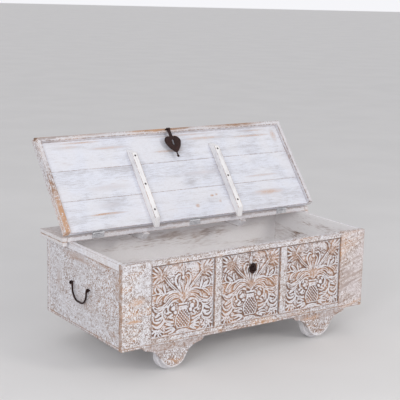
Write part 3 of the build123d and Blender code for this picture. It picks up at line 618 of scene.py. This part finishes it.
# one stroke of the gouge: points along its middle (x from the panel's middle, z above the body's
# bottom, mm), half widths at start, middle and end, heights at start and end, and its section
halfStrokes = [
    # tulip: outer and inner petal
    ([(6, 168), (20, 200), (30, 222), (32, 238), (24, 252), (15, 250)], (3.0, 4.2, 2.6), (4.2, 5.6), "twin"),
    ([(3, 168), (10, 196), (17, 214), (19, 228), (12, 240)], (2.2, 3.4, 2.0), (3.6, 4.6), "round"),
    ([(10, 262), (24, 264), (34, 256), (52, 261)], (2.0, 2.6, 1.4), (1.8, 2.2), "round"),
    ([(34, 246), (44, 250), (58, 246), (68, 249)], (1.4, 2.2, 1.2), (1.2, 1.8), "round"),
    # long stem to the corner flower
    ([(4, 168), (30, 196), (56, 220), (84, 250)], (3.8, 5.8, 6.2), (5.0, 6.4), "rope"),
    # horn and petals of the corner flower
    ([(92, 246), (84, 262), (78, 276), (68, 288)], (4.6, 7.2, 2.6), (5.8, 5.2), "hollow"),
    ([(90, 258), (100, 276), (114, 294)], (3.2, 5.0, 2.6), (5.2, 4.8), "vein"),
    ([(92, 258), (112, 274), (134, 290)], (3.2, 5.4, 2.2), (5.4, 4.8), "vein"),
    ([(94, 256), (114, 264), (134, 274)], (3.2, 4.8, 2.2), (5.2, 4.6), "vein"),
    ([(94, 253), (116, 255), (135, 254)], (3.2, 5.0, 2.6), (5.0, 5.2), "vein"),
    ([(92, 250), (110, 246), (126, 233)], (3.2, 5.2, 3.4), (5.0, 5.2), "vein"),
    ([(88, 246), (100, 240), (113, 230)], (3.0, 4.8, 3.2), (4.8, 5.2), "vein"),
    ([(84, 244), (92, 238), (98, 240), (97, 246)], (2.4, 3.4, 2.6), (4.6, 5.0), "round"),
    # branch with its hanging lobes
    ([(2, 152), (14, 176), (30, 189), (52, 192), (72, 187)], (3.2, 4.2, 3.0), (5.2, 6.2), "twin"),
    ([(10, 166), (30, 180), (52, 181), (70, 172), (79, 158)], (3.0, 7.4, 4.6), (5.0, 6.0), "rope"),
    ([(16, 166), (36, 172), (54, 168), (66, 158)], (2.0, 4.4, 2.4), (4.4, 5.0), "vein"),
    ([(70, 187), (86, 186), (110, 191), (130, 188)], (3.0, 3.6, 2.2), (5.0, 4.8), "vein"),
    ([(84, 184), (98, 178), (109, 168), (113, 158)], (4.4, 8.2, 5.4), (5.4, 6.0), "rope"),
    # buds above the branch
    ([(76, 191), (80, 202), (83, 221)], (3.4, 4.6, 1.4), (4.8, 4.6), "vein"),
    ([(88, 192), (97, 199), (106, 209)], (4.0, 7.0, 4.0), (4.8, 5.4), "vein"),
    ([(112, 191), (118, 200), (120, 210), (116, 222)], (2.8, 3.6, 1.6), (4.6, 4.6), "round"),
    # plume over the scroll, running out into the first hooked lobe
    ([(4, 150), (14, 160), (32, 170), (52, 164), (72, 149), (88, 140), (104, 138)],
     (4.0, 6.0, 4.2), (5.8, 6.4), "rope"),
    ([(70, 146), (86, 131), (104, 126), (120, 131), (129, 144)], (4.2, 8.6, 2.6), (5.6, 5.6), "rope"),
    ([(80, 139), (98, 136), (114, 138), (125, 146)], (2.4, 4.0, 2.0), (5.0, 5.0), "round"),
    ([(20, 156), (40, 156), (56, 148), (74, 134)], (2.4, 3.4, 2.6), (4.4, 4.8), "round"),
    # spine and the lobes that hook up from it
    ([(78, 138), (88, 122), (88, 106), (84, 90), (78, 82)], (3.4, 3.8, 3.0), (5.2, 5.4), "twin"),
    ([(91, 117), (104, 112), (117, 104)], (4.2, 6.6, 3.2), (5.2, 5.6), "vein"),
    ([(89, 101), (97, 88), (111, 83), (123, 88), (128, 100)], (3.2, 5.2, 2.4), (5.2, 5.4), "hollow"),
    ([(95, 99), (105, 94), (115, 95)], (2.6, 4.0, 2.2), (4.2, 4.6), "vein"),
    ([(82, 92), (88, 76), (102, 67), (118, 67), (130, 77)], (3.4, 5.6, 2.4), (5.4, 5.6), "hollow"),
    ([(94, 74), (106, 58), (122, 55), (134, 62)], (2.8, 4.6, 2.2), (4.8, 5.0), "hollow"),
    # palmette in the lower corner
    ([(100, 55), (94, 46), (85, 42)], (3.4, 4.4, 2.2), (4.8, 4.8), "vein"),
    ([(102, 53), (99, 42), (91, 33)], (3.2, 4.4, 2.4), (4.8, 4.8), "vein"),
    ([(104, 52), (106, 41), (104, 30)], (3.2, 4.6, 2.6), (4.8, 5.0), "vein"),
    ([(106, 53), (116, 43), (121, 32)], (3.2, 4.6, 2.4), (4.8, 4.8), "vein"),
    ([(107, 54), (122, 50), (135, 42)], (3.2, 4.6, 2.4), (4.8, 4.8), "vein"),
    ([(104, 52), (105, 49)], (5.0, 5.4, 4.6), (5.4, 5.8), "round"),
    # scroll and berries beside the vase
    ([(24, 148), (40, 153), (56, 147), (65, 132), (62, 117), (52, 112)], (3.0, 4.2, 2.8), (5.0, 5.8), "twin"),
    ([(47, 143), (50, 138)], (4.4, 4.8, 4.2), (4.8, 5.4), "round"),
    ([(41, 128), (41, 124)], (8.0, 8.8, 8.0), (5.6, 6.4), "round"),
    ([(33, 111), (33, 110)], (6.0, 6.4, 6.0), (5.4, 6.0), "round"),
    ([(48, 104), (54, 98)], (4.4, 5.0, 4.0), (4.6, 5.0), "round"),
    ([(65, 111), (66, 108)], (5.0, 5.4, 5.0), (4.8, 5.2), "round"),
    ([(60, 98), (52, 92), (42, 92)], (3.0, 4.4, 2.4), (4.0, 4.4), "vein"),
    # leaves that hug the vase
    ([(80, 87), (70, 80), (56, 77), (42, 75)], (3.8, 6.2, 3.6), (5.2, 5.4), "rope"),
    ([(74, 72), (60, 68), (42, 62)], (3.0, 5.0, 3.0), (4.6, 5.0), "vein"),
    ([(36, 48), (52, 56), (72, 54)], (3.0, 4.8, 2.4), (4.4, 4.8), "vein"),
    ([(36, 46), (54, 47), (72, 42)], (2.8, 4.6, 2.6), (4.4, 4.8), "vein"),
    ([(36, 43), (48, 38), (58, 34)], (2.8, 4.6, 2.6), (4.4, 4.8), "vein"),
]
middleStrokes = [
    ([(0, 148), (0, 168)], (7.0, 11.0, 12.0), (5.4, 4.6), "fan"),
    ([(0, 176), (0, 196), (0, 216)], (1.8, 2.6, 1.0), (3.6, 2.4), "round"),
    ([(0, 236), (0, 240)], (5.4, 6.2, 5.4), (5.0, 5.6), "round"),
    ([(0, 250), (0, 268), (0, 293)], (4.0, 6.6, 1.8), (4.6, 3.8), "scale"),
]


def smoothLine(points, count=30):  # a Catmull-Rom curve through the points
    knots = np.array([points[0], *points, points[-1]], float)
    knots[0] = 2 * knots[1] - knots[2]
    knots[-1] = 2 * knots[-2] - knots[-3]
    line = []
    for step in np.linspace(0, len(points) - 1 - 1e-9, count):
        index = int(step)
        t = step - index
        a, b, c, d = knots[index:index + 4]
        bend = (2 * a - 5 * b + 4 * c - d) * t * t
        twist = (3 * b - a - 3 * c + d) * t ** 3
        line.append(0.5 * (2 * b + (c - a) * t + bend + twist))
    return np.array(line)


def section(kind, side, along, arc):  # height over a stroke's half width, side from -1 to 1
    edge = np.clip(1 - np.abs(side) ** 2.6, 0, 1) ** 0.6
    if kind == "twin":
        return edge * (1 - 0.42 * np.exp(-((side - 0.12) / 0.24) ** 2))
    if kind == "rope":  # two ridges side by side, which part near the start
        return edge * (1 - 0.55 * np.exp(-((side - 0.05) / 0.26) ** 2) * np.clip(along * 4, 0, 1))
    if kind == "vein":
        vein = np.exp(-(side / 0.20) ** 2)
        ribs = 0.06 * np.cos(arc * 1.5 - np.abs(side) * 3)
        return edge * (1 - 0.50 * vein * np.clip(1.2 - along, 0, 1) - ribs)
    if kind == "hollow":
        return edge * (0.52 + 0.48 * np.clip(np.abs(side + 0.2), 0, 1) ** 1.2)
    if kind == "fan":
        return edge * (0.80 + 0.20 * np.cos(side * 12.0))
    if kind == "scale":
        return edge * (0.76 + 0.24 * np.cos(arc * 1.15 - np.abs(side) * 2.2))
    return edge


def cutStroke(height, xs, zs, points, widths, heights, kind):
    line = smoothLine(points)
    reach = max(widths) * 1.2 + 1.5
    low = line.min(0) - reach
    high = line.max(0) + reach
    picked = (xs > low[0]) & (xs < high[0]) & (zs > low[1]) & (zs < high[1])
    nearX = xs[picked]
    nearZ = zs[picked]
    steps = np.diff(line, axis=0)
    lengths = np.hypot(steps[:, 0], steps[:, 1])
    run = np.concatenate([[0], np.cumsum(lengths)])
    nearest = np.full(nearX.shape, 1e9)
    signed = np.zeros(nearX.shape)
    along = np.zeros(nearX.shape)
    for start, step, length, done in zip(line, steps, lengths, run):
        dx = nearX - start[0]
        dz = nearZ - start[1]
        share = np.clip((dx * step[0] + dz * step[1]) / max(length * length, 1e-9), 0, 1)
        away = np.hypot(dx - share * step[0], dz - share * step[1])
        closer = away < nearest
        cross = step[0] * dz - step[1] * dx
        nearest = np.where(closer, away, nearest)
        signed = np.where(closer, np.sign(cross) * away, signed)
        along = np.where(closer, (done + share * length) / run[-1], along)
    wide = np.interp(along, (0, 0.5, 1), widths) * 1.16 + 0.2
    tall = np.interp(along, (0, 1), heights) * 1.1
    side = np.clip(signed / wide, -1, 1)
    shape = section(kind, side, along, along * run[-1]) * tall
    shape[nearest > wide] = 0
    moat = np.clip(1 - np.abs(nearest - wide - 0.9) / 0.9, 0, 1) * (nearest > wide)  # undercut beside it
    under = height[picked] - moat * 0.9
    height[picked] = np.where(shape > 0, np.maximum(height[picked], shape), under)


vase = {  # sizes in mm, heights above the body's bottom
    "moundHalf": 33.0,
    "moundTall": 21.0,  # half height
    "moundMiddle": 26,
    "moundRelief": 4.8,
    "outlineUps": (48, 54, 66, 80, 94, 108, 118, 132),
    "outlineHalves": (22, 28, 33, 34, 30, 23, 18, 18),
    "rimWide": 4.0,
    "rimRelief": 4.6,
    "netPitch": 14.0,
    "netSlope": 1.15,
    "netGround": 1.4,
    "studRelief": 4.4,
    "neckUp": 116,
    # turned bands: middle, half height, half width, relief
    "bands": ((139, 4.6, 19, 6.0), (129, 2.2, 16, 4.4), (118, 2.6, 17, 5.4), (50, 2.6, 26, 5.4)),
}


def vaseHeight(height, xs, zs):
    lift = zs - vase["moundMiddle"]
    mound = 1 - (xs / vase["moundHalf"]) ** 2 - (lift / vase["moundTall"]) ** 2
    rings = 0.85 + 0.15 * np.cos(np.hypot(xs, lift * 1.5) * 0.95)
    height[:] = np.maximum(height, np.clip(mound * 3, 0, 1) ** 0.6 * vase["moundRelief"] * rings)
    inside = np.interp(zs, vase["outlineUps"], vase["outlineHalves"]) - np.abs(xs)
    first = np.abs(np.mod((xs * vase["netSlope"] + zs) / vase["netPitch"], 1) - 0.5) * 2
    second = np.abs(np.mod((zs - xs * vase["netSlope"]) / vase["netPitch"], 1) - 0.5) * 2
    studs = np.clip(np.minimum(first, second) * 2.6 - 0.60, 0, 1) * vase["studRelief"]
    rim = np.clip(inside / 2.2, 0, 1) ** 0.6 * vase["rimRelief"] * np.clip((5.0 - inside) / 1.6, 0, 1)
    within = inside > vase["rimWide"]
    neck = zs >= vase["neckUp"]
    net = (vase["netGround"] + studs) * within * ~neck + vase["rimRelief"] * within * neck
    body = np.maximum(rim, net)
    inVase = (inside > 0) & (zs > vase["outlineUps"][0]) & (zs < vase["outlineUps"][-1])
    height[inVase] = body[inVase]
    for middle, halfTall, halfWide, relief in vase["bands"]:
        band = np.clip(1 - (np.abs(zs - middle) / halfTall) ** 3, 0, 1) ** 0.5 * relief
        height[:] = np.maximum(height, band * (np.abs(xs) < halfWide))


def blurred(field, times):
    for _ in range(times):
        padded = np.pad(field, 1, mode="edge")
        upright = padded[1:-1, 1:-1] * 2 + padded[:-2, 1:-1] + padded[2:, 1:-1]
        field = (upright + padded[1:-1, :-2] + padded[1:-1, 2:]) / 6
    return field


def reliefField(gridX, gridZ, seed):  # heights in mm on a grid, rows of z
    chance = np.random.default_rng(seed)
    height = np.zeros(gridX.size)
    xs = gridX.ravel()
    zs = gridZ.ravel()
    fillers = []
    for _ in range(carving["fillers"]):
        x = chance.uniform(*carving["fillerAcross"])
        z = chance.uniform(*carving["fillerUp"])
        turn = chance.uniform(0, np.pi)
        reach = chance.uniform(3, 6)
        bow = chance.normal(0, 2.0)
        step = (np.cos(turn) * reach, np.sin(turn) * reach)
        cut = [(x - step[0], z - step[1]), (x + bow, z - bow), (x + step[0], z + step[1])]
        fillers.append((cut, (0.8, 1.7, 0.8), (0.8, 1.1), "round"))
    for side in (-1, 1):
        for points, widths, heights, kind in fillers + halfStrokes:
            wobble = chance.normal(0, carving["wobble"], (len(points), 2))
            moved = [(side * (x + dx), z + dz) for (x, z), (dx, dz) in zip(points, wobble)]
            swell = 1 + chance.normal(0, 0.06)
            cutStroke(height, xs, zs, moved, [width * swell for width in widths], heights, kind)
    for points, widths, heights, kind in middleStrokes:
        cutStroke(height, xs, zs, points, widths, heights, kind)
    vaseHeight(height, xs, zs)
    field = blurred(height.reshape(gridX.shape), 1)
    chisel = blurred(chance.normal(0, 1, gridX.shape), 3)
    chisel = chisel / chisel.std()
    ground = np.clip(1 - field / 1.5, 0, 1)
    field = field + chisel * (0.10 + 0.30 * ground)
    rim = np.minimum(gridX.max() - np.abs(gridX), gridZ.max() - gridZ)
    border = np.clip((6.5 - rim) / 2.5, 0, 1)
    foot = np.clip((gridZ.min() + 7 - gridZ) / 7, 0, 1)
    field = field * (1 - border) + 3.2 * border * (rim > 4.2)
    field = field - np.clip(1 - np.abs(rim - 2.4) / 2.0, 0, 1) * 3.6  # scored line beside the frame
    return field * (1 - foot) + foot * (4.0 + chisel * 0.4)


# how sunk and how proud each point is, and a painted shade on the undersides of the strokes
def wearAndShadeMarks(field):
    soft = blurred(field, 2)
    near = blurred(field, 14)
    wide = blurred(near, 70)
    sunk = np.clip((near - soft - 0.08) / 0.8, 0, 1) * 0.85
    sunk = sunk + np.clip((wide - soft - 0.5) / 3.0, 0, 1) * 0.3
    proud = np.clip((soft - near) / 0.8, 0, 1)
    underShade = np.clip(np.gradient(soft, axis=0) / 0.9, 0, 1)  # painted shade: the undersides of the strokes, which face down, are browned
    return {"sunk": np.clip(sunk, 0, 1), "proud": proud, "underShade": underShade}


def carvePanel(node, seed):
    low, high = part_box(node)
    middle = (low.x + high.x) / 2
    bpy.ops.object.select_all(action="DESELECT")
    bpy.ops.mesh.primitive_grid_add(
        x_subdivisions=carving["columns"], y_subdivisions=carving["rows"], size=1, location=(0, 0, 0))
    panel = bpy.context.object
    panel.name = node + "_carved"
    mesh = panel.data
    flat = np.empty(len(mesh.vertices) * 3)
    mesh.vertices.foreach_get("co", flat)
    flat = flat.reshape(-1, 3)
    xs = (flat[:, 0] + 0.5) * (high.x - low.x) + low.x
    zs = (flat[:, 1] + 0.5) * (high.z - low.z) + low.z
    order = np.lexsort((flat[:, 0], flat[:, 1]))
    shape = (len(np.unique(np.round(flat[:, 1], 6))), -1)
    gridX = ((xs - middle) / mm)[order].reshape(shape)
    gridZ = ((zs - bodyBottom) / mm)[order].reshape(shape)
    field = reliefField(gridX, gridZ, carving["seed"] + seed)
    back = np.empty(len(flat), int)
    back[order] = np.arange(len(flat))
    flat[:, 0] = xs
    flat[:, 1] = frontY + (carving["ground"] - field.ravel()[back]) * mm
    flat[:, 2] = zs
    mesh.vertices.foreach_set("co", flat.ravel())
    count = len(flat)
    bpy.ops.object.mode_set(mode="EDIT")
    bpy.ops.mesh.select_all(action="DESELECT")
    bpy.ops.mesh.select_mode(type="EDGE")
    bpy.ops.mesh.select_non_manifold()
    bpy.ops.mesh.extrude_region_move(TRANSFORM_OT_translate={"value": (0, carving["rim"], 0)})
    bpy.ops.mesh.edge_face_add()
    bpy.ops.object.mode_set(mode="OBJECT")
    for vertex in mesh.vertices[count:]:
        vertex.co.y = high.y
    bpy.ops.object.mode_set(mode="EDIT")
    bpy.ops.mesh.select_all(action="SELECT")
    bpy.ops.mesh.normals_make_consistent(inside=False)
    bpy.ops.object.mode_set(mode="OBJECT")
    bpy.ops.object.shade_smooth_by_angle(angle=math.radians(50))
    for name, values in wearAndShadeMarks(field).items():
        attribute = mesh.attributes.new(name, "FLOAT", "POINT")
        full = np.zeros(len(mesh.vertices), np.float32)
        full[:count] = values.ravel()[back]
        attribute.data.foreach_set("value", full)
    mesh.materials.append(carvedWood(node, carving["bareAndShade"][node.split("_")[-1]]))
    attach(panel, "chest")
    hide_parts(node)


for seed, side in enumerate(("left", "middle", "right")):
    carvePanel("carved_panel_" + side, seed)
print("panels carved")


stageLook = {"floor": (0.80, 0.79, 0.78), "size": 120.0, "aim": (0, 0, 0.35)}


def paleGround():
    bpy.ops.object.select_all(action="DESELECT")
    bpy.ops.mesh.primitive_plane_add(size=stageLook["size"], location=(0, 0, 0))
    floor = bpy.context.object
    floor.name = "floor"
    finish = Finish("floor_finish")
    cloud = finish.place.noise(2.0, 2, 0.5)
    pale = cloud.rise(0.3, 0.7).tint(stageLook["floor"], tuple(c * 1.03 for c in stageLook["floor"]))
    floor.data.materials.append(finish.set(Base_Color=pale, Roughness=0.9))


def softLight(name, place, size, power, tone):
    data = bpy.data.lights.new(name, "AREA")
    data.shape = "DISK"
    data.size = size
    data.energy = power
    data.color = tone
    lamp = bpy.data.objects.new(name, data)
    lamp.location = place
    lamp.rotation_euler = (Vector(stageLook["aim"]) - Vector(place)).to_track_quat("-Z", "Y").to_euler()
    bpy.context.scene.collection.objects.link(lamp)


lamps = {
    "left_lamp": {"place": (-3.5, -3.0, 2.1), "size": 1.5, "power": 50, "tone": (0.95, 0.97, 1.0)},
    "right_lamp": {"place": (1.6, -4.2, 2.4), "size": 1.2, "power": 47, "tone": (1.0, 0.97, 0.94)},
}
sky = {"tone": (0.97, 0.97, 1.0), "strength": 0.66, "seen": 0.95}
paleGround()
for name, lamp in lamps.items():
    softLight(name, **lamp)

world = bpy.data.worlds.new("studio")
bpy.context.scene.world = world
world.use_nodes = True
background = world.node_tree.nodes["Background"]
air = Wire(world.node_tree)
rays = [air.add("ShaderNodeLightPath", {}, {}, out=name) for name in ("Is Camera Ray", "Is Glossy Ray")]
seen = rays[0].most(rays[1])  # the sky is seen brighter than it lights
strength = seen * (sky["seen"] - sky["strength"]) + sky["strength"]
world.node_tree.links.new(strength.socket, background.inputs["Strength"])
background.inputs["Color"].default_value = (*sky["tone"], 1)

view = {"place": (-2.3982, -3.4029, 1.4207), "turn": -34.64, "dip": 11.77, "roll": 1.29, "lens": 96.59,
        "sensor": 36, "clipEnd": 50}


def placeCamera():
    turn = math.radians(view["turn"])
    dip = math.radians(view["dip"])
    roll = math.radians(view["roll"])
    ahead = Vector((-math.sin(turn) * math.cos(dip), math.cos(turn) * math.cos(dip), -math.sin(dip)))
    right = Vector((math.cos(turn), math.sin(turn), 0))
    up = right.cross(ahead)
    level = right * math.cos(roll) + up * math.sin(roll)
    upright = up * math.cos(roll) - right * math.sin(roll)
    data = bpy.data.cameras.new("camera")
    data.lens = view["lens"]
    data.sensor_width = view["sensor"]
    data.clip_end = view["clipEnd"]
    camera = bpy.data.objects.new("camera", data)
    place = Vector(view["place"]) + Vector((0, bodyMidY, 0))
    camera.matrix_world = Matrix.Translation(place) @ Matrix((level, upright, -ahead)).transposed().to_4x4()
    bpy.context.scene.collection.objects.link(camera)
    bpy.context.scene.camera = camera


placeCamera()
bpy.context.scene.view_settings.view_transform = "Standard"
print("stage set")
